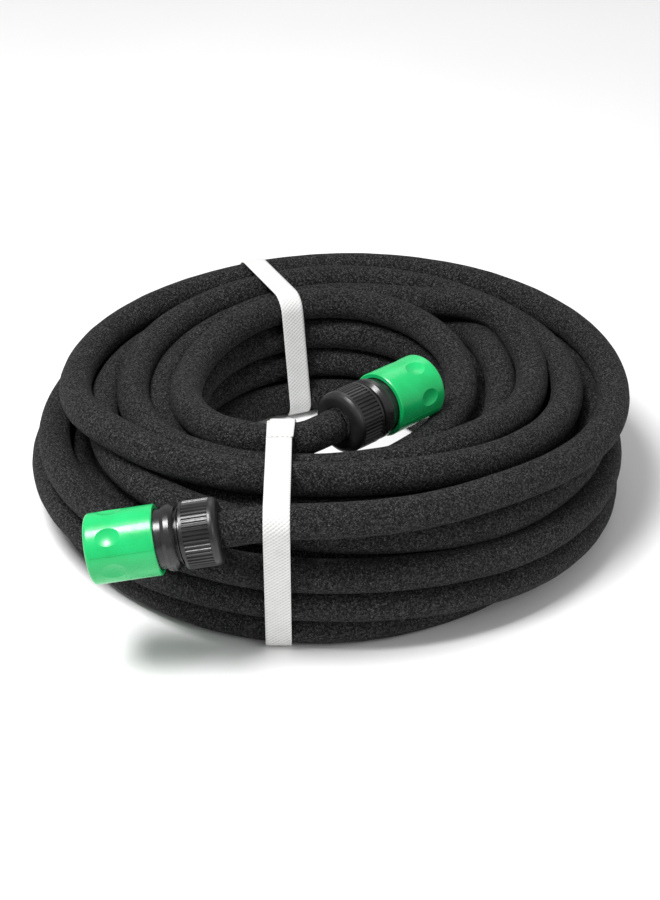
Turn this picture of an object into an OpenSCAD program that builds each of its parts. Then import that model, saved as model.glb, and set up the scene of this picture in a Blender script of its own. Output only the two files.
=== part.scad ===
// Porous soaker hose, wound in a round coil, tied with two straps,
// with a click connector on each end. Millimetres, +Z up, floor at z = 0.

/* [Hose] */
// Outer diameter of the hose
hose_d = 17.5; // [16:0.1:17.6]
// Inner diameter of the hose
hose_id = 12.6; // [12:0.1:12.8]

/* [Coil] */
// Outer radius of the coil
coil_r = 160; // [158:0.5:161]
// Height of the coil at the front, where it is tied
coil_front_h = 84; // [82:0.5:85]
// Height of the coil at the back
coil_back_h = 70; // [68:0.5:72]
// Radius of the hole in the middle, at the back
hole_r = 67; // [65:0.5:68]
// Radius of the front end of the hole
hole_front_r = 66; // [65:0.5:67]

/* [Straps] */
// Width of each strap
strap_w = 12.7; // [10:0.1:14]
// Thickness of each strap
strap_t = 0.8; // [0.5:0.1:0.9]

/* [Connector sleeve] */
// Outer diameter of the release sleeve
sleeve_d = 34; // [33:0.5:36]
// Length of the release sleeve
sleeve_len = 33; // [32.5:0.5:34]
// How far the sleeve pulls back
sleeve_stroke = 3.2; // [2.5:0.1:3.4]
// Number of finger dents round the sleeve
dent_count = 6; // [4:1:8]

/* [Connector nut] */
// Outer diameter over the ribs of the clamp nut
nut_d = 32.5; // [31.5:0.5:34]
// Length of the clamp nut
nut_len = 17.5; // [17:0.5:18]
// Number of ribs round the nut
rib_count = 48; // [36:2:60]
// Advance of the nut in one turn
thread_pitch = 3; // [2:0.5:4]

/* [Connector socket] */
// Radius of the sealing bore
socket_r = 8.1; // [7.9:0.05:8.2]
// Radius of the water way
water_r = 4.5; // [3.5:0.1:5]

/* [Hidden] */
$fn = 64;

hose_r = hose_d / 2;
// The coil's axis stands behind the middle of the whole object
coil_y = 8.5;
green = [0.11, 0.78, 0.43];
black = [0.07, 0.07, 0.075];
hose_grey = [0.16, 0.16, 0.165];

// Stations along a connector, from the nut's hose side to the mouth
shoulder_len = 3.2;
collar_u = nut_len + 3;
neck_u = collar_u + 6;
sleeve_u = neck_u + sleeve_stroke + 0.4;
mouth_u = sleeve_u + sleeve_len;
skirt_u = 9.8;
web_u = 16;
spring_u = sleeve_u + 0.9;
ledge_u = spring_u + 11;
ledge_len = 2.7;
hub_u = ledge_u + ledge_len + 0.4;
hub_len = 2.4;
socket_u = 46;
counter_u = 55;
barrel_end_u = mouth_u - 0.8;
barrel_r = 12;
neck_r = 14.3;
collar_r = 16;
thread_r = 13.3;

// Place of each connector: centre of the nut's hose side, tilt from +Z, and heading
outer_pos = [-50, -160, 74.5];
outer_tilt = 100;
outer_heading = 180;
inner_pos = [5, -67, 77];
inner_tilt = 93;
inner_heading = 46;

function heading_vector(tilt, heading) =
    [sin(tilt) * cos(heading), sin(tilt) * sin(heading), cos(tilt)];
outer_dir = heading_vector(outer_tilt, outer_heading);
inner_dir = heading_vector(inner_tilt, inner_heading);

// Routes of the two ends of the hose, from the nut to the coil
outer_route = concat([for (s = [0, 8, 16, 24]) outer_pos - s * outer_dir],
    [[-12, -160, 79.5], [4, -157.5, 78], [20, -153, 76], [36, -147, 74], [52, -138, 71],
     [66, -128, 67], [78, -117, 62]]);
inner_route = concat([for (s = [0, 5, 10]) inner_pos - s * inner_dir],
    [[-10, -81, 77.5], [-20, -85.5, 76.5], [-32, -86, 76], [-44, -81.5, 75.5], [-55, -72, 74.5],
     [-64, -60, 72.5], [-71, -46, 69], [-76, -32, 64]]);

// Smooth curve through a list of points
function curve_at(p, i, t) =
    let (a = p[max(i - 1, 0)], b = p[i], c = p[i + 1], d = p[min(i + 2, len(p) - 1)])
    0.5 * (2 * b + (c - a) * t + (2 * a - 5 * b + 4 * c - d) * t * t
        + (3 * b - a - 3 * c + d) * t * t * t);
function curve(p, steps) = concat(
    [for (i = [0 : len(p) - 2]) for (k = [0 : steps - 1]) curve_at(p, i, k / steps)],
    [p[len(p) - 1]]);

function unit(v) = v / norm(v);
function tangent(p, i) = unit(p[min(i + 1, len(p) - 1)] - p[max(i - 1, 0)]);

// Round tube swept along a route that never stands upright
module tube_along(p, r, sides) {
    rings = [for (i = [0 : len(p) - 1])
        let (t = tangent(p, i), side = unit(cross(t, [0, 0, 1])), up = cross(side, t))
        for (k = [0 : sides - 1])
            p[i] + r * (cos(360 * k / sides) * side + sin(360 * k / sides) * up)];
    last = len(p) - 1;
    walls = [for (i = [0 : last - 1]) for (k = [0 : sides - 1])
        let (n = (k + 1) % sides)
        [i * sides + k, i * sides + n, (i + 1) * sides + n, (i + 1) * sides + k]];
    start = [for (k = [sides - 1 : -1 : 0]) k];
    end = [for (k = [0 : sides - 1]) last * sides + k];
    polyhedron(points = rings, faces = concat(walls, [start, end]), convexity = 6);
}

// Outline pulled in by t on every side; the outline is convex and runs anticlockwise
function inset(p, t) = [for (i = [0 : len(p) - 1])
    let (n = len(p), a = p[(i + n - 1) % n], b = p[i], c = p[(i + 1) % n],
        e = unit(b - a), f = unit(c - b),
        ne = [-e[1], e[0]], nf = [-f[1], f[0]], m = ne + nf)
    b + m * t / (1 + ne * nf)];

module ring(r_in, r_out, len) {
    difference() {
        cylinder(r = r_out, h = len);
        translate([0, 0, -1]) cylinder(r = r_in, h = len + 2);
    }
}

module at_outer() {
    translate(outer_pos) rotate([0, outer_tilt, outer_heading]) children();
}

module at_inner() {
    translate(inner_pos) rotate([0, inner_tilt, inner_heading]) children();
}

// ---- coil and hose ends ----

module hose_coil() {
    top_tilt = atan((coil_front_h - coil_back_h) / (2 * coil_r));
    mid_h = (coil_front_h + coil_back_h) / 2;
    edge = coil_r + 54.5;
    color(hose_grey) difference() {
        rotate_extrude($fn = 128) polygon([[0, 0], [coil_r - 6, 0], [coil_r, 6],
            [coil_r, edge - coil_r], [edge - coil_front_h, coil_front_h], [0, coil_front_h]]);
        translate([0, 0, mid_h]) rotate([-top_tilt, 0, 0])
            translate([-coil_r - 10, -coil_r - 10, 0])
            cube([2 * coil_r + 20, 2 * coil_r + 20, 40]);
        translate([0, 0, -1]) cylinder(r = hole_r, h = 100);
        translate([2, -22, -1]) cylinder(r = hole_front_r, h = 100);
        translate([-62, -26, -1]) cube([126, 30, 100]);
        front_strap_place() translate([-strap_w / 2 - 0.4, -175, -1])
            cube([strap_w + 0.8, 115, strap_t + 1.2]);
        rear_strap_place() translate([-strap_w / 2 - 0.4, 50, -1])
            cube([strap_w + 0.8, 120, strap_t + 1.2]);
    }
}

module outer_lead() {
    color(hose_grey) tube_along(curve(outer_route, 3), hose_r, 12);
}

module inner_lead() {
    color(hose_grey) tube_along(curve(inner_route, 3), hose_r, 12);
}

// ---- straps ----

front_strap_x = -24;
front_strap_outline = [[-153, 0], [-90, 0], [-83, 6], [-74.4, 78], [-77, 86], [-84, 89.4],
    [-160, 89.8], [-167, 87.8], [-171.6, 82], [-171.6, 76], [-161.6, 6]];
// The rear strap crosses the coil a little off the radial direction
rear_strap_x = 12;
rear_strap_heading = 112;
rear_strap_outline = [[69.6, 7], [76, 0], [158.4, 0], [165.8, 7], [165.8, 55.5], [150, 72], [71, 76],
    [69.6, 74]];

module front_strap_place() {
    translate([front_strap_x, 0, 0]) children();
}

module rear_strap_place() {
    translate([rear_strap_x, 0, 0]) rotate([0, 0, rear_strap_heading - 90]) children();
}

module strap_loop(outline) {
    rotate([90, 0, 90]) translate([0, 0, -strap_w / 2]) linear_extrude(strap_w)
        difference() {
            polygon(outline);
            polygon(inset(outline, strap_t));
        }
}

module front_strap() {
    color("white") front_strap_place() strap_loop(front_strap_outline);
}

module rear_strap() {
    color("white") rear_strap_place() strap_loop(rear_strap_outline);
}

// ---- connector, along +Z from the nut's hose side ----

module barbed_stem() {
    translate([0, 0, 1.5]) cylinder(r = 6.2, h = web_u);
    for (u = [2.5, 6.5, 10.5])
        translate([0, 0, u]) cylinder(r1 = 6.2, r2 = 6.9, h = 3);
}

module thread_ridges() {
    for (u = [skirt_u + 0.6 : thread_pitch : collar_u - 0.5])
        translate([0, 0, u]) rotate_extrude() polygon([[12, -0.6], [12.5, -0.6],
            [thread_r, -0.2], [thread_r, 0.2], [12.5, 0.6], [12, 0.6]]);
}

module claw_places(count) {
    for (i = [0 : count - 1]) rotate([0, 0, 45 + i * 360 / count]) children();
}

module connector_body() {
    color(black) difference() {
        union() {
            barbed_stem();
            translate([0, 0, skirt_u]) ring(9.6, 12.4, web_u - skirt_u + 0.5);
            translate([0, 0, web_u]) cylinder(r = 12.4, h = collar_u - web_u + 0.5);
            thread_ridges();
            translate([0, 0, collar_u]) cylinder(r1 = 14.4, r2 = collar_r, h = 1.8);
            translate([0, 0, collar_u + 1.8]) cylinder(r = collar_r, h = 2.4);
            translate([0, 0, collar_u + 4.2]) cylinder(r1 = collar_r, r2 = 15.4, h = 1.8);
            translate([0, 0, neck_u - 0.5]) cylinder(r = neck_r, h = spring_u - neck_u + 0.5);
            translate([0, 0, spring_u - 0.5]) cylinder(r = barrel_r, h = barrel_end_u - spring_u + 0.5);
        }
        translate([0, 0, -1]) cylinder(r = water_r, h = barrel_end_u);
        translate([0, 0, socket_u]) cylinder(r = socket_r, h = 30);
        translate([0, 0, counter_u]) cylinder(r = 9.4, h = 30);
        translate([0, 0, barrel_end_u - 1]) cylinder(r1 = 9.4, r2 = 10.6, h = 1.2);
        translate([0, 0, 49]) cylinder(r = 10.3, h = 2.6);
        translate([0, 0, hub_u - 0.1]) ring(11.3, 13, hub_len + 0.2);
        claw_places(4) translate([5, -3.2, counter_u + 1]) cube([10, 6.4, 4.6]);
    }
}

module connector_seal() {
    color([0.2, 0.2, 0.22]) translate([0, 0, 50.3]) rotate_extrude()
        translate([9.28, 0]) circle(r = 1.05, $fn = 24);
}

module connector_claw_ring() {
    arm_start = hub_u + hub_len - 0.2;
    tooth_u = counter_u + 1.6;
    color([0.12, 0.12, 0.125]) union() {
        translate([0, 0, hub_u]) ring(11.4, 14.2, hub_len);
        claw_places(4) {
            intersection() {
                translate([0, 0, arm_start]) ring(12.3, 13.4, counter_u + 5 - arm_start);
                translate([8, -2.8, arm_start]) cube([8, 5.6, 20]);
            }
            intersection() {
                translate([0, 0, tooth_u]) ring(8.7, 12.8, 2.8);
                translate([6, -2.8, tooth_u]) cube([8, 5.6, 2.8]);
            }
        }
    }
}

module connector_spring() {
    turns = 5;
    wire_r = 0.5;
    mean_r = 13.35;
    low = spring_u + wire_r + 0.05;
    high = ledge_u - wire_r - 0.1;
    steps = turns * 16;
    color([0.75, 0.75, 0.76]) tube_along([for (i = [0 : steps])
        [mean_r * cos(360 * turns * i / steps), mean_r * sin(360 * turns * i / steps),
            low + (high - low) * i / steps]], wire_r, 6);
}

module connector_sleeve() {
    sleeve_r = sleeve_d / 2;
    dent_ball_r = 14;
    dent_deep = 1.3;
    color(green) difference() {
        union() {
            translate([0, 0, sleeve_u]) cylinder(r1 = sleeve_r - 0.4, r2 = sleeve_r, h = 0.6);
            translate([0, 0, sleeve_u + 0.6]) cylinder(r = sleeve_r, h = sleeve_len - 2.4);
            translate([0, 0, mouth_u - 1.8]) rotate_extrude() polygon(concat([[0, 0]],
                [for (a = [0 : 15 : 90]) [sleeve_r - 1.8 + 1.8 * cos(a), 1.8 * sin(a)]],
                [[0, 1.8]]));
            for (a = [1.8, 4.8]) rotate([0, 0, a * 360 / dent_count])
                translate([sleeve_r - 0.5, -0.25, sleeve_u + 0.8])
                cube([0.65, 0.5, sleeve_len - 3.2]);
        }
        translate([0, 0, sleeve_u - 1]) cylinder(r = 14.8, h = ledge_u - sleeve_u + 1);
        translate([0, 0, ledge_u - 0.1]) cylinder(r = 12.4, h = ledge_len + 0.2);
        translate([0, 0, ledge_u + ledge_len]) cylinder(r = 14.8, h = 54 - ledge_u - ledge_len);
        translate([0, 0, 53.9]) cylinder(r = 13.8, h = 7);
        translate([0, 0, mouth_u - 2.6]) cylinder(r = 15.2, h = 4);
        for (i = [0 : dent_count - 1]) rotate([0, 0, (i + 0.3) * 360 / dent_count])
            translate([sleeve_r + dent_ball_r - dent_deep, 0, mouth_u - 12])
            sphere(r = dent_ball_r);
    }
}

module connector_grip_ring() {
    color([0.1, 0.1, 0.105]) difference() {
        translate([0, 0, 1.9]) cylinder(r1 = 10.2, r2 = 12.15, h = 7.3);
        translate([0, 0, 1]) cylinder(r = hose_r + 0.25, h = 10);
        translate([0, -0.9, 0]) cube([20, 1.8, 12]);
    }
}

module connector_nut() {
    nut_r = nut_d / 2;
    base_r = nut_r - 0.7;
    rib_end = nut_len - 1.2;
    color(black) difference() {
        union() {
            rotate_extrude() polygon(concat([[0, 0], [12.4, 0]],
                [for (a = [0 : 15 : 90]) [12.4 + (nut_r - 12.4) * sin(a), (shoulder_len - 0.4) * (1 - cos(a))]],
                [[nut_r, shoulder_len + 0.6], [base_r, shoulder_len + 1], [0, shoulder_len + 1]]));
            translate([0, 0, shoulder_len]) linear_extrude(rib_end - shoulder_len)
                polygon([for (i = [0 : rib_count - 1]) for (q = [[0, base_r], [0.25, nut_r - 0.05],
                    [0.6, nut_r - 0.05], [0.85, base_r]])
                    let (a = (i + q[0]) * 360 / rib_count) q[1] * [cos(a), sin(a)]]);
            translate([0, 0, rib_end - 0.1]) cylinder(r = nut_r, h = nut_len - rib_end + 0.1);
        }
        translate([0, 0, -1]) cylinder(r = hose_r + 0.4, h = 5);
        translate([0, 0, 1.6]) cylinder(r1 = 10.6, r2 = 12.7, h = 7.81);
        translate([0, 0, 9.4]) cylinder(r = thread_r + 0.45, h = 20);
    }
}

module connector_hose_end() {
    color(hose_grey) ring(hose_id / 2, hose_r - 0.05, web_u - 0.2);
}

module placed() {
    translate([0, coil_y, 0]) children();
}

placed() hose_coil();
placed() outer_lead();
placed() inner_lead();
placed() front_strap();
placed() rear_strap();
placed() at_outer() connector_body();  // outer_body
placed() at_outer() connector_hose_end();  // outer_hose_end
placed() at_outer() connector_seal();  // outer_seal
placed() at_outer() connector_claw_ring();  // outer_claw_ring
placed() at_outer() connector_spring();  // outer_spring
placed() at_outer() connector_sleeve();  // outer_sleeve
placed() at_outer() connector_grip_ring();  // outer_grip_ring
placed() at_outer() connector_nut();  // outer_nut
placed() at_inner() connector_body();  // inner_body
placed() at_inner() connector_hose_end();  // inner_hose_end
placed() at_inner() connector_seal();  // inner_seal
placed() at_inner() connector_claw_ring();  // inner_claw_ring
placed() at_inner() connector_spring();  // inner_spring
placed() at_inner() connector_sleeve();  // inner_sleeve
placed() at_inner() connector_grip_ring();  // inner_grip_ring
placed() at_inner() connector_nut();  // inner_nut
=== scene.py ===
"""A coil of black soaker hose, tied with two white straps, with a click connector on each end."""

import math

import bpy
import numpy as np
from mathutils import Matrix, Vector


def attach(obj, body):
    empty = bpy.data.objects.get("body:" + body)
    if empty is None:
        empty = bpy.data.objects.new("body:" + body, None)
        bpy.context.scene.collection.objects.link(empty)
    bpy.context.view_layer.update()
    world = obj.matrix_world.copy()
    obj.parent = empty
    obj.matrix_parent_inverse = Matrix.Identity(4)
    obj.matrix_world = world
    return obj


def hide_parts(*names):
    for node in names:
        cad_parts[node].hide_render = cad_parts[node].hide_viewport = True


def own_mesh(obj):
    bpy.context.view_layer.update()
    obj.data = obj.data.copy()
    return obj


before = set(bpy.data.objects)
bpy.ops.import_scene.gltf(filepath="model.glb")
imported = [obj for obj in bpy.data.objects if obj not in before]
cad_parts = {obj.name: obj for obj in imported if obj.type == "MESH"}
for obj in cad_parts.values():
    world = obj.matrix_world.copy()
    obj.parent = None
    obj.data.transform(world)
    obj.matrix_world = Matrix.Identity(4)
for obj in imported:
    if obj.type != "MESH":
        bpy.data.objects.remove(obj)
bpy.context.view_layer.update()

# ---------------------------------------------------------------- sizes, in metres and degrees
HOSE_D = 0.0175
HOSE_SQUEEZE = 0.985        # how close two turns are meant to lie, as a share of the diameter
COIL_Y = 0.0085             # the coil's axis stands behind the origin
AXIS = np.array([0, COIL_Y, 0])
STEP = 0.007                # spacing of the points along the hose's path
SKIN_STEP = 0.0035          # spacing of the rings of points in its mesh
SKIN_LUMPS = 0.00025        # how uneven its skin is
STRAP_W = 0.0127
STRAP_T = 0.0008
STRAP_GAP = 0.0004          # how far a strap stands off the turns
STRAP_STEP = 0.002          # spacing of the rows of points in its mesh
FRONT_STRAP_X = -0.024
REAR_STRAP_X = 0.012
REAR_STRAP_HEADING = 112    # the way that the rear strap crosses the ring, turned from +X

# how the hose settles: the share of each correction that one round makes
STIFFNESS, HOMING, EVENING, PUSHING = 0.4, 0.25, 0.3, 0.8
LOOSE_HOLD = 0.18           # how far a free turn is drawn back to where it was laid
WATCHED = 1.25              # turns nearer than this many diameters are checked for contact
NEIGHBOURS = int(0.045 / STEP)      # points this near along the hose never count as in contact


def direction(tilt, heading):
    """A unit vector, tilted from +Z and turned from +X, in degrees."""
    t, h = math.radians(tilt), math.radians(heading)
    return np.array([math.sin(t) * math.cos(h), math.sin(t) * math.sin(h), math.cos(t)])


class Connector:
    """Where one connector lies, measured from the foot of the coil's axis: the middle of its nut's
    hose side, and the way its mouth points."""

    def __init__(self, name, pos, tilt, heading):
        self.name = name
        self.pos = np.array(pos)
        self.out = direction(tilt, heading)

    def at(self, u):
        """The point u metres along the connector's axis, in the shared frame."""
        return self.pos + self.out * u + AXIS


OUTER = Connector("outer", (-0.050, -0.160, 0.0745), 100, 180)
INNER = Connector("inner", (0.005, -0.067, 0.077), 93, 46)

# the two free ends, from the nut to where the hose joins the turns, as in part.scad, measured
# from the foot of the coil's axis
OUTER_ROUTE = [OUTER.pos - s * OUTER.out for s in (0, 0.008, 0.016, 0.024)] + [
    (-0.012, -0.160, 0.0795), (0.004, -0.1575, 0.078), (0.020, -0.153, 0.076),
    (0.036, -0.147, 0.074), (0.052, -0.138, 0.071), (0.066, -0.128, 0.067), (0.078, -0.117, 0.062)]
INNER_ROUTE = [INNER.pos - s * INNER.out for s in (0, 0.005, 0.010)] + [
    (-0.010, -0.081, 0.0775), (-0.020, -0.0855, 0.0765), (-0.032, -0.086, 0.076),
    (-0.044, -0.0815, 0.0755), (-0.055, -0.072, 0.0745), (-0.064, -0.060, 0.0725),
    (-0.071, -0.046, 0.069), (-0.076, -0.032, 0.064)]

# the turns from the outer end, as (radius, height) in millimetres at the front, right, back and
# left, before the hose settles
HEADINGS = (270, 360, 450, 540)
TURNS = [
    # over the top, then down the outside
    [None, (152, 57), (145, 55), (135, 61)],
    [(118, 77), (128, 60), (127, 57), (104, 60)],
    [(102, 71), (109, 60), (114, 46), (89, 52)],
    [(101, 52), (94, 53), (129, 41), (119, 53)],
    [(140, 58), (143, 45), (147, 41), (147, 38)],
    [(151, 41), (150, 28), (159, 25), (149, 22)],
    [(150, 24), (148, 11), (156, 9), (141, 9)],
    # the bottom row, inwards
    [(148, 9), (131, 9), (139, 9), (124, 9)],
    [(129, 9), (113, 9), (122, 9), (107, 9)],
    [(111, 9), (95, 9), (105, 9), (90, 9)],
    [(98, 22), (78, 10), (89, 9), (76, 14)],
    # the next row, outwards
    [(116, 25), (84, 24), (93, 26), (84, 26)],
    [(132, 25), (101, 24), (110, 25), (100, 24)],
    [(133, 41), (118, 24), (127, 25), (117, 24)],
    [(123, 58), (126, 38), (144, 25), (130, 27)],
    # the row above, inwards, and up to the inner end
    [(115, 41), (106, 38), (111, 41), (104, 40)],
    [(98, 38), (82, 41), (96, 43), (77, 43)],
    [(84, 51), (72, 58), (102, 60), (74, 60)]]
# a turn, a heading between the four above, and the hose's place there
BETWEEN = [(2, 230, (106, 64)), (2, 248, (106, 68)), (2, 315, (98, 67)),
           (17, 300, (76, 57)), (17, 330, (72, 58)), (17, 390, (79, 60))]


# ---------------------------------------------------------------- camera
def make_camera():
    target = Vector((0, COIL_Y, 0.032))
    elevation, distance = math.radians(31), 1.2
    camera = bpy.data.objects.new("camera", bpy.data.cameras.new("camera"))
    bpy.context.scene.collection.objects.link(camera)
    back = Vector((0, -math.cos(elevation), math.sin(elevation)))
    camera.location = target + back * distance
    camera.rotation_mode = "QUATERNION"
    camera.rotation_quaternion = (-back).to_track_quat("-Z", "Y")
    camera.data.lens = 88.8
    camera.data.sensor_width = 36
    camera.data.shift_x = 0.0022
    camera.data.shift_y = -0.02
    camera.data.clip_start = 0.01
    camera.data.clip_end = 50
    bpy.context.scene.camera = camera


# ---------------------------------------------------------------- the hose's path
def through(knots, values, where):
    """A smooth curve through values at knots, read at where."""
    knots, values = np.asarray(knots, float), np.asarray(values, float)
    slopes = np.gradient(values, knots, axis=0)
    k = np.clip(np.searchsorted(knots, where, side="right") - 1, 0, len(knots) - 2)
    h = (knots[k + 1] - knots[k])[:, None]
    s = (where - knots[k])[:, None] / h
    return ((2 * s**3 - 3 * s**2 + 1) * values[k] + (s**3 - 2 * s**2 + s) * h * slopes[k]
            + (3 * s**2 - 2 * s**3) * values[k + 1] + (s**3 - s**2) * h * slopes[k + 1])


def along(points):
    """Distance from the first point to each point."""
    return np.concatenate([[0], np.cumsum(np.linalg.norm(np.diff(points, axis=0), axis=1))])


def lead(route):
    """A free end's route as a smooth curve of close points."""
    points = np.array([tuple(p) for p in route])
    s = along(points)
    return through(s, points, np.arange(0, s[-1], 0.001))


def evenly(points, step):
    """The same line with its points about step metres apart."""
    s = along(points)
    want = np.linspace(0, s[-1], int(round(s[-1] / step)) + 1)
    return np.stack([np.interp(want, s, points[:, i]) for i in range(3)], 1)


def first_path():
    """The whole hose before it settles, and how many points at each end belong to the two leads."""
    start, end = OUTER_ROUTE[-1], INNER_ROUTE[-1]
    places = [(360 * k + heading, pair) for k, turn in enumerate(TURNS)
              for heading, pair in zip(HEADINGS, turn) if pair]
    places = sorted(places + [(360 * k + heading, pair) for k, heading, pair in BETWEEN])
    angles = [360 + math.degrees(math.atan2(start[1], start[0]))] + [a for a, _ in places] + [
        360 * len(TURNS) + 360 + math.degrees(math.atan2(end[1], end[0]))]
    pairs = [(math.hypot(*start[:2]), start[2])] + [(r / 1000, z / 1000) for _, (r, z) in places] + [
        (math.hypot(*end[:2]), end[2])]
    fine = np.arange(angles[0], angles[-1], 2.0)
    flat = through(angles, pairs, fine)
    turned = np.radians(fine)
    coil = np.stack([flat[:, 0] * np.cos(turned), flat[:, 0] * np.sin(turned), flat[:, 1]], 1)
    first, last = lead(OUTER_ROUTE), lead(INNER_ROUTE)[::-1]
    path = evenly(np.concatenate([first, coil[1:-1], last]), STEP)
    return path, int(along(first)[-1] / STEP), int(along(last)[-1] / STEP)


def close_pairs(points, reach, apart):
    """Indices of points nearer than reach, at least apart steps from each other along the hose."""
    found = []
    squares = (points**2).sum(1)
    for a in range(0, len(points), 512):
        part = points[a:a + 512]
        d2 = (part**2).sum(1)[:, None] + squares[None] - 2 * part @ points.T
        i, j = np.nonzero(d2 < reach**2)
        keep = j > i + a + apart
        found.append((i[keep] + a, j[keep]))
    return np.concatenate([f[0] for f in found]), np.concatenate([f[1] for f in found])


def stiffness_pull(points, k):
    """Draws a point to the even bend through those k and 2k steps away on both sides of it."""
    pull = np.zeros_like(points)
    pull[2 * k:-2 * k] = -(points[4 * k:] - 4 * points[3 * k:-k] + 6 * points[2 * k:-2 * k]
                           - 4 * points[k:-3 * k] + points[:-4 * k]) / 16
    return pull


def settle(points, hold, rounds=320, drop=0.00002):
    """Lets the turns come to rest on the floor and on each other. The hose can't move where hold is 1."""
    home = points.copy()
    free = (hold < 1)[:, None]
    nearest = HOSE_D * HOSE_SQUEEZE
    for n in range(rounds):
        if n % 5 == 0:
            i, j = close_pairs(points, HOSE_D * WATCHED, NEIGHBOURS)
        move = (STIFFNESS * (stiffness_pull(points, 2) + stiffness_pull(points, 5))
                + HOMING * hold[:, None] * (home - points))
        move[:, 2] -= drop
        tangent = points[2:] - points[:-2]
        tangent /= np.linalg.norm(tangent, axis=1)[:, None]
        uneven = (points[2:] + points[:-2]) / 2 - points[1:-1]
        move[1:-1] += EVENING * tangent * (uneven * tangent).sum(1)[:, None]
        points = points + move * free
        for _ in range(5):
            gap = points[j] - points[i]
            distance = np.linalg.norm(gap, axis=1)
            hit = distance < nearest
            push = gap[hit] * (nearest / np.maximum(distance[hit], 1e-6) - 1)[:, None]
            total, count = np.zeros_like(points), np.zeros(len(points))
            np.add.at(total, i[hit], -push)
            np.add.at(total, j[hit], push)
            np.add.at(count, i[hit], 1)
            np.add.at(count, j[hit], 1)
            points = points + PUSHING * total / np.maximum(count, 1)[:, None] * free
            points[:, 2] = np.maximum(points[:, 2], HOSE_D / 2)
    for _ in range(3):
        points[1:-1] += (points[2:] + points[:-2] - 2 * points[1:-1]) / 4 * free[1:-1]
    return points


def hose_path():
    """The settled hose. The first steps of each lead stay put, and the hold fades along the rest."""
    path, n_first, n_last = first_path()
    hold = np.full(len(path), LOOSE_HOLD)
    for n, end in ((n_first, hold), (n_last, hold[::-1])):
        end[:n + 12] = np.interp(np.arange(n + 12), [0, 3, 4, n + 11], [1, 1, 0.7, 0.1])
    return settle(path, hold) + AXIS


# ---------------------------------------------------------------- mesh helpers
def new_mesh(name, points, faces):
    mesh = bpy.data.meshes.new(name)
    mesh.from_pydata([tuple(p) for p in points], [], faces)
    mesh.validate()
    mesh.update()
    mesh.polygons.foreach_set("use_smooth", [True] * len(mesh.polygons))
    piece = bpy.data.objects.new(name, mesh)
    bpy.context.scene.collection.objects.link(piece)
    return piece


def frames(path):
    """A pair of steady cross directions at each point of a path."""
    tangent = np.gradient(path, axis=0)
    tangent /= np.linalg.norm(tangent, axis=1)[:, None]
    side = np.cross(tangent, [0, 0, 1])
    side /= np.linalg.norm(side, axis=1)[:, None]
    return side, np.cross(side, tangent)


def tube(name, path, radius, sides, lumps=0.0):
    """A closed tube along path. lumps is how far its skin sinks in at its deepest."""
    waves = ((410, 2), (233, -3), (151, 5), (97, 1))      # radians a metre along the tube, and waves round it
    shrink = 1 - 0.004
    side, up = frames(path)
    turned = np.linspace(0, 2 * math.pi, sides, endpoint=False)
    s = along(path)
    points = []
    for i, centre in enumerate(path):
        uneven = sum(np.sin(s[i] * k + turned * m + k) for k, m in waves) / len(waves)
        r = radius * shrink + lumps * (uneven - 1) / 2
        points.extend(centre + np.outer(r * np.cos(turned), side[i])
                      + np.outer(r * np.sin(turned), up[i]))
    faces = []
    for i in range(len(path) - 1):
        for k in range(sides):
            a, b = i * sides + k, i * sides + (k + 1) % sides
            faces.append((a, a + sides, b + sides, b))
    faces.append(tuple(range(sides)))
    faces.append(tuple(range(len(points) - 1, len(points) - sides - 1, -1)))
    return new_mesh(name, points, faces)


# ---------------------------------------------------------------- pieces
def make_hose(path):
    s = along(path)
    fine = evenly(through(s, path, np.arange(0, s[-1], SKIN_STEP)), SKIN_STEP)
    hose = tube("hose", fine, HOSE_D / 2, 24, lumps=SKIN_LUMPS)
    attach(hose, "hose")
    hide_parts("hose_coil", "outer_lead", "inner_lead")
    return hose


def hull(points):
    """The taut outline round a set of points in a plane, anticlockwise."""
    points = sorted(map(tuple, points))

    def half(run):
        out = []
        for p in run:
            while len(out) > 1 and ((out[-1][0] - out[-2][0]) * (p[1] - out[-2][1])
                                    - (out[-1][1] - out[-2][1]) * (p[0] - out[-2][0])) <= 0:
                out.pop()
            out.append(p)
        return out[:-1]

    return np.array(half(points) + half(points[::-1]))


def taut_outline(path, origin, across, normal):
    """Where a strap lies round the turns: the outline in (across, up) coordinates about origin."""
    half_slice, from_axis = 0.0085, 0.02
    path = evenly(path, 0.002)
    near = path[(np.abs((path - origin) @ normal) < half_slice)
                & ((path - origin) @ across > from_axis)]
    flat = np.stack([(near - origin) @ across, near[:, 2]], 1)
    turned = np.linspace(0, 2 * math.pi, 40, endpoint=False)
    r = HOSE_D / 2 + STRAP_T / 2 + STRAP_GAP
    discs = (flat[:, None] + r * np.stack([np.cos(turned), np.sin(turned)], 1)[None]).reshape(-1, 2)
    discs[:, 1] = np.maximum(discs[:, 1], STRAP_T / 2)
    return hull(discs)


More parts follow.
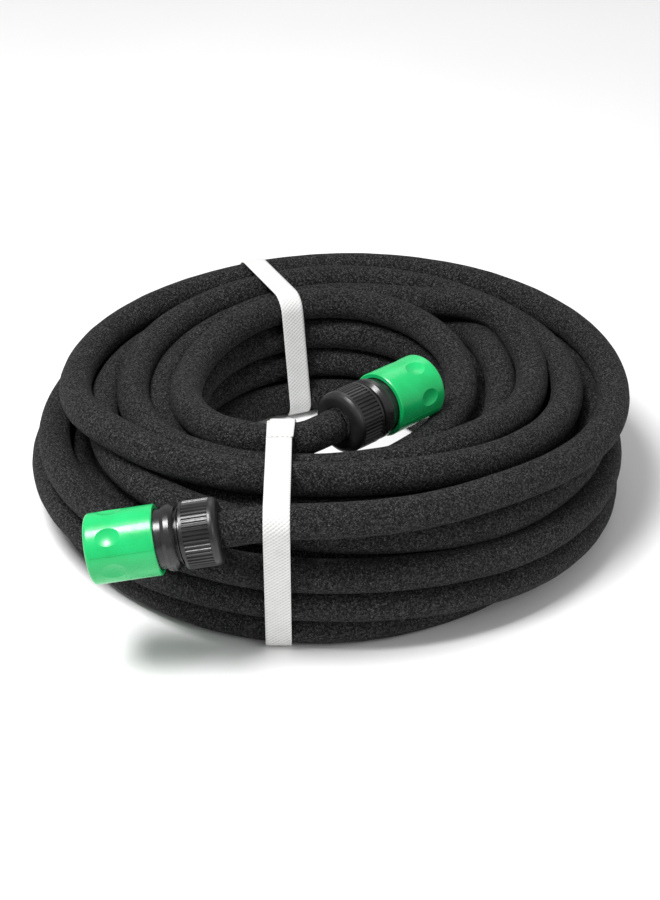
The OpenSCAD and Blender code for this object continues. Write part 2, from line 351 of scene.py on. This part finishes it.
def band(name, outline, origin, across, normal, start, length, lift=0.0, shift=0.0, skew=0.0):
    """A strip of strap along a closed outline, from start for length metres. It is lifted off the
    outline by lift, moved sideways by shift, and runs off sideways by skew metres a metre."""
    closed = np.vstack([outline, outline[:1]])
    s = along(closed)
    want = np.arange(start, start + length, STRAP_STEP)
    flat = np.stack([np.interp(want % s[-1], s, closed[:, i]) for i in range(2)], 1)
    if length >= s[-1]:         # a whole loop, whose corners are rounded a little
        flat = (np.roll(flat, 1, 0) + flat * 2 + np.roll(flat, -1, 0)) / 4
    tangent = np.gradient(flat, axis=0)
    tangent /= np.linalg.norm(tangent, axis=1)[:, None]
    outward = np.stack([tangent[:, 1], -tangent[:, 0]], 1)
    middle = flat + outward * lift
    columns = np.linspace(-0.5, 0.5, 13)
    # the strap thins over the last 8 percent of its width on each side
    edge = 1 - 0.55 * np.clip((np.abs(columns) - 0.42) / 0.08, 0, 1) ** 2
    points, uv = [], []
    for side in (1, -1):
        for i, m in enumerate(middle):
            for c, e in zip(columns, edge):
                p = m + outward[i] * side * STRAP_T / 2 * e
                slide = shift + skew * (want[i] - start) + c * STRAP_W
                points.append(origin + across * p[0] + np.array([0, 0, p[1]]) + normal * slide)
                uv.append((want[i], c * STRAP_W))
    rows, cols = len(want), len(columns)
    faces = []
    for i in range(rows - 1):
        for k in range(cols - 1):
            a = i * cols + k
            faces.append((a, a + 1, a + cols + 1, a + cols))
            b = a + rows * cols
            faces.append((b, b + cols, b + cols + 1, b + 1))
        for k in (0, cols - 1):
            a, b = i * cols + k, i * cols + k + rows * cols
            quad = (a, a + cols, b + cols, b)
            faces.append(quad if k == 0 else quad[::-1])
    for i in (0, rows - 1):
        for k in range(cols - 1):
            a, b = i * cols + k, i * cols + k + rows * cols
            quad = (a, b, b + 1, a + 1)
            faces.append(quad if i == 0 else quad[::-1])
    piece = new_mesh(name, points, faces)
    layer = piece.data.uv_layers.new(name="strap")
    for loop in piece.data.loops:
        layer.data[loop.index].uv = uv[loop.vertex_index]
    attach(piece, "hose")
    return piece


def length_of(outline):
    """The length of a closed outline."""
    return float(np.linalg.norm(np.diff(np.vstack([outline, outline[:1]]), axis=0), axis=1).sum())


def starting_at(outline, wanted):
    """The same closed outline, with its first point the one nearest to wanted."""
    return np.roll(outline, -int(np.argmin(np.linalg.norm(outline - wanted, axis=1))), axis=0)


def make_straps(path, material):
    """Each strap is a taut band. Its two ends lap over each other and are welded there."""
    up = np.array([0.0, 0.0, 1.0])
    heading = math.radians(REAR_STRAP_HEADING)
    to_front, to_rear = (0.0, -1.0, 0.0), (math.cos(heading), math.sin(heading), 0.0)
    # name, x, the way across the ring, and where the lap begins: distance that way, and height
    places = (("front", FRONT_STRAP_X, to_front, (0.082, 0.087)),
              ("rear", REAR_STRAP_X, to_rear, (0.168, 0.03)))
    for name, x, across, lap in places:
        origin, across = np.array([x, COIL_Y, 0]), np.array(across)
        normal = np.cross(up, across)
        outline = starting_at(taut_outline(path, origin, across, normal), np.array(lap))
        around = length_of(outline)
        loop = band(name + "_strap_band", outline, origin, across, normal, 0, around + 0.001)
        weld = band(name + "_strap_weld", outline, origin, across, normal, around - 0.016, 0.026,
                    lift=STRAP_T, shift=0.0006, skew=0.05)
        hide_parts(name + "_strap")
        for piece in (loop, weld):
            piece.data.materials.append(material)


def make_spring(connector, material):
    """Five open turns between the body's shoulder and the sleeve's ledge."""
    wire, radius, first, last, turns = 0.0005, 0.01335, 0.0316, 0.0414, 5
    side = np.cross(connector.out, [0, 0, 1])
    side /= np.linalg.norm(side)
    up = np.cross(side, connector.out)
    t = np.linspace(0, 1, 240)
    a = 2 * math.pi * turns * t
    u = first + (last - first) * t
    path = connector.at(0) + np.outer(u, connector.out) + np.outer(radius * np.cos(a), side) + np.outer(
        radius * np.sin(a), up)
    piece = tube(connector.name + "_spring_wire", path, wire, 10)
    piece.data.materials.append(material)
    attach(piece, "hose")
    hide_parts(connector.name + "_spring")
    tuple(connector.at(0.031))
    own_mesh(piece)


# ---------------------------------------------------------------- materials
def material(name, colour, roughness, metallic=0.0, coat=0.0, specular=0.5):
    """A principled material, its nodes and its shader."""
    made = bpy.data.materials.new(name)
    made.use_nodes = True
    shader = made.node_tree.nodes["Principled BSDF"]
    shader.inputs["Base Color"].default_value = (*colour, 1)
    shader.inputs["Roughness"].default_value = roughness
    shader.inputs["Metallic"].default_value = metallic
    shader.inputs["Coat Weight"].default_value = coat
    shader.inputs["Specular IOR Level"].default_value = specular
    return made, made.node_tree, shader


def noise(tree, scale, detail=2.0, rough=0.5):
    coordinates = tree.nodes.new("ShaderNodeTexCoord")
    texture = tree.nodes.new("ShaderNodeTexNoise")
    texture.inputs["Scale"].default_value = scale
    texture.inputs["Detail"].default_value = detail
    texture.inputs["Roughness"].default_value = rough
    tree.links.new(coordinates.outputs["Object"], texture.inputs["Vector"])
    return texture.outputs["Fac"]


def ramp(tree, value, stops):
    """Maps a value through (position, colour) stops."""
    node = tree.nodes.new("ShaderNodeValToRGB")
    tree.links.new(value, node.inputs["Fac"])
    elements = node.color_ramp.elements
    while len(elements) < len(stops):
        elements.new(0.5)
    for element, (position, colour) in zip(elements, stops):
        element.position = position
        element.color = (*colour, 1) if hasattr(colour, "__len__") else (colour, colour, colour, 1)
    return node.outputs["Color"]


def vary(tree, shader, socket, scale, detail, stops, rough=0.5):
    """Drives one of the shader's inputs with noise, mapped through stops."""
    tree.links.new(ramp(tree, noise(tree, scale, detail, rough), stops), shader.inputs[socket])


def bump(tree, shader, height, strength, distance, under=None):
    node = tree.nodes.new("ShaderNodeBump")
    node.inputs["Strength"].default_value = strength
    node.inputs["Distance"].default_value = distance
    tree.links.new(height, node.inputs["Height"])
    if under is not None:
        tree.links.new(under, node.inputs["Normal"])
    tree.links.new(node.outputs["Normal"], shader.inputs["Normal"])
    return node.outputs["Normal"]


def mix(tree, kind, factor, a, b):
    """Mixes two colours. factor is a number or an output."""
    node = tree.nodes.new("ShaderNodeMix")
    node.data_type = "RGBA"
    node.blend_type = kind
    for socket, value in ((node.inputs[0], factor), (node.inputs[6], a), (node.inputs[7], b)):
        if isinstance(value, bpy.types.NodeSocket):
            tree.links.new(value, socket)
        elif hasattr(value, "__len__"):
            socket.default_value = (*value, 1)
        else:
            socket.default_value = value
    return node.outputs[2]


def porous_rubber():
    """Crumbed rubber: near black and matt, a rough skin of grains with open pores between them, with painted
    shade in the pores and painted glints on the grain tops.
    """
    made, tree, shader = material("porous_rubber", (0.02, 0.02, 0.021), 0.9, specular=0.3)
    crumbs = noise(tree, 760, 3, 0.65)
    fine = noise(tree, 1400, 2, 0.6)
    # the skin's tone is partly the grains' own and partly painted shade: it is near black where the crumbs
    # sink into pores, the lowest places of the bump below
    skin = ramp(tree, crumbs, [(0.40, 0.001), (0.49, 0.007), (0.60, 0.037)])
    blotches = ramp(tree, noise(tree, 45, 3), [(0.35, 0.72), (0.65, 1.0)])
    # painted highlights: pale glints mixed into the colour where the fine noise is high, on the tops of the
    # fine bump below
    painted_grain_glints = ramp(tree, fine, [(0.57, 0.0), (0.68, 0.85)])
    colour = mix(tree, "MIX", painted_grain_glints, mix(tree, "MULTIPLY", 1.0, skin, blotches), (0.14, 0.14, 0.145))
    tree.links.new(colour, shader.inputs["Base Color"])
    lumps = ramp(tree, crumbs, [(0.36, 0.0), (0.64, 1.0)])
    tree.links.new(ramp(tree, crumbs, [(0.35, 1.0), (0.75, 0.7)]), shader.inputs["Roughness"])
    pores = bump(tree, shader, lumps, 0.9, 0.0011)
    bump(tree, shader, fine, 0.7, 0.0008, under=pores)
    return made


def green_plastic():
    made, tree, shader = material("green_plastic", (0.008, 0.50, 0.138), 0.3, coat=0.1)
    vary(tree, shader, "Base Color", 90, 3, [(0.3, (0.006, 0.46, 0.12)), (0.7, (0.010, 0.54, 0.155))])
    vary(tree, shader, "Roughness", 300, 4, [(0.3, 0.24), (0.8, 0.36)])
    bump(tree, shader, noise(tree, 260, 2), 0.12, 0.0003)
    return made


def black_plastic(name="black_plastic", roughness=0.3):
    made, tree, shader = material(name, (0.012, 0.012, 0.013), roughness, coat=0.1)
    vary(tree, shader, "Base Color", 120, 3, [(0.3, (0.008, 0.008, 0.009)), (0.7, (0.019, 0.019, 0.02))])
    vary(tree, shader, "Roughness", 500, 5, [(0.35, roughness), (0.8, roughness + 0.16)], rough=0.7)
    bump(tree, shader, noise(tree, 380, 2), 0.1, 0.0002)
    return made


def pale_acetal():
    made, tree, shader = material("pale_acetal", (0.72, 0.71, 0.66), 0.42)
    vary(tree, shader, "Base Color", 150, 3, [(0.3, (0.66, 0.65, 0.60)), (0.7, (0.78, 0.77, 0.72))])
    vary(tree, shader, "Roughness", 420, 3, [(0.3, 0.36), (0.8, 0.5)])
    bump(tree, shader, noise(tree, 500, 2), 0.08, 0.0002)
    return made


def seal_rubber():
    made, tree, shader = material("seal_rubber", (0.015, 0.015, 0.016), 0.55)
    vary(tree, shader, "Base Color", 300, 3, [(0.3, (0.010, 0.010, 0.010)), (0.7, (0.024, 0.024, 0.025))])
    vary(tree, shader, "Roughness", 700, 3, [(0.3, 0.45), (0.8, 0.65)])
    bump(tree, shader, noise(tree, 900, 2), 0.1, 0.0001)
    return made


def spring_steel():
    made, tree, shader = material("spring_steel", (0.55, 0.55, 0.57), 0.3, metallic=1.0)
    vary(tree, shader, "Base Color", 400, 3, [(0.3, (0.45, 0.45, 0.47)), (0.7, (0.66, 0.66, 0.68))])
    vary(tree, shader, "Roughness", 900, 3, [(0.3, 0.22), (0.8, 0.4)])
    bump(tree, shader, noise(tree, 1500, 2), 0.1, 0.00005)
    return made


def strap_weave():
    """White woven polypropylene tape: fine slanting ribs, a slight shine, and painted shade in grey between
    the ribs.
    """
    made, tree, shader = material("strap_weave", (0.84, 0.84, 0.83), 0.42)
    coordinates = tree.nodes.new("ShaderNodeTexCoord")
    ribs = []
    spacing = 0.0016
    for slant in (38, -38):
        turn = tree.nodes.new("ShaderNodeMapping")
        turn.inputs["Rotation"].default_value = (0, 0, math.radians(slant))
        tree.links.new(coordinates.outputs["UV"], turn.inputs["Vector"])
        wave = tree.nodes.new("ShaderNodeTexWave")
        wave.inputs["Scale"].default_value = 0.314 / spacing
        wave.inputs["Distortion"].default_value = 0.8
        wave.inputs["Detail"].default_value = 1
        tree.links.new(turn.outputs["Vector"], wave.inputs["Vector"])
        ribs.append(wave.outputs["Fac"])
    weave = mix(tree, "MIX", 0.32, ribs[0], ribs[1])
    # painted shade: grey in the grooves between the ribs, where the bump below sinks, and white on the ribs
    weave_with_groove_shade = ramp(tree, weave, [(0.15, (0.58, 0.58, 0.57)), (0.6, (0.80, 0.80, 0.79))])
    dirt = ramp(tree, noise(tree, 130, 3), [(0.3, 0.93), (0.6, 1.0)])
    tree.links.new(mix(tree, "MULTIPLY", 1.0, weave_with_groove_shade, dirt), shader.inputs["Base Color"])
    tree.links.new(ramp(tree, weave, [(0.0, 0.6), (0.6, 0.36)]), shader.inputs["Roughness"])
    bump(tree, shader, weave, 0.5, 0.0003)
    return made


def floor_paint():
    made, tree, shader = material("floor_paint", (0.86, 0.86, 0.86), 0.7)
    vary(tree, shader, "Base Color", 3, 2, [(0.3, 0.84), (0.7, 0.88)])
    return made


def dress(node, made):
    """Gives a CAD node its material."""
    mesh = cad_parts[node]
    mesh.data.materials.clear()
    mesh.data.materials.append(made)


# ---------------------------------------------------------------- stage
def make_stage():
    bpy.ops.mesh.primitive_plane_add(size=8, location=(0, 0, -0.0002))
    floor = bpy.context.object
    floor.name = "floor"
    floor.data.materials.append(floor_paint())
    world = bpy.data.worlds.new("studio")
    bpy.context.scene.world = world
    world.use_nodes = True
    background = world.node_tree.nodes["Background"]
    background.inputs["Color"].default_value = (1, 1, 1, 1)
    background.inputs["Strength"].default_value = 0.4
    aim = Vector((0, 0, 0.04))
    # name, place, size in metres, and power in watts
    for name, place, size, power in (("key", (-0.45, -0.3, 1.35), 0.5, 24),
                                     ("fill", (0.9, -0.9, 0.9), 0.8, 4),
                                     ("rim", (0.2, 1.2, 1.2), 0.9, 3)):
        light = bpy.data.lights.new(name, "AREA")
        light.energy = power
        light.size = size
        lamp = bpy.data.objects.new(name, light)
        lamp.location = place
        lamp.rotation_mode = "QUATERNION"
        lamp.rotation_quaternion = (aim - Vector(place)).to_track_quat("-Z", "Y")
        bpy.context.scene.collection.objects.link(lamp)


# ---------------------------------------------------------------- build
bpy.context.scene.view_settings.view_transform = "Standard"
make_camera()
path = hose_path()
hose = make_hose(path)
hose.data.materials.append(porous_rubber())
make_straps(path, strap_weave())
green, black, gloss = green_plastic(), black_plastic(), black_plastic("black_collar", 0.22)
rubber, pale, steel, ends = seal_rubber(), pale_acetal(), spring_steel(), hose.data.materials[0]
for connector in (OUTER, INNER):
    make_spring(connector, steel)
    for part, made in (("body", gloss), ("nut", black), ("sleeve", green), ("claw_ring", pale),
                       ("seal", rubber), ("grip_ring", black), ("hose_end", ends)):
        dress(f"{connector.name}_{part}", made)
make_stage()
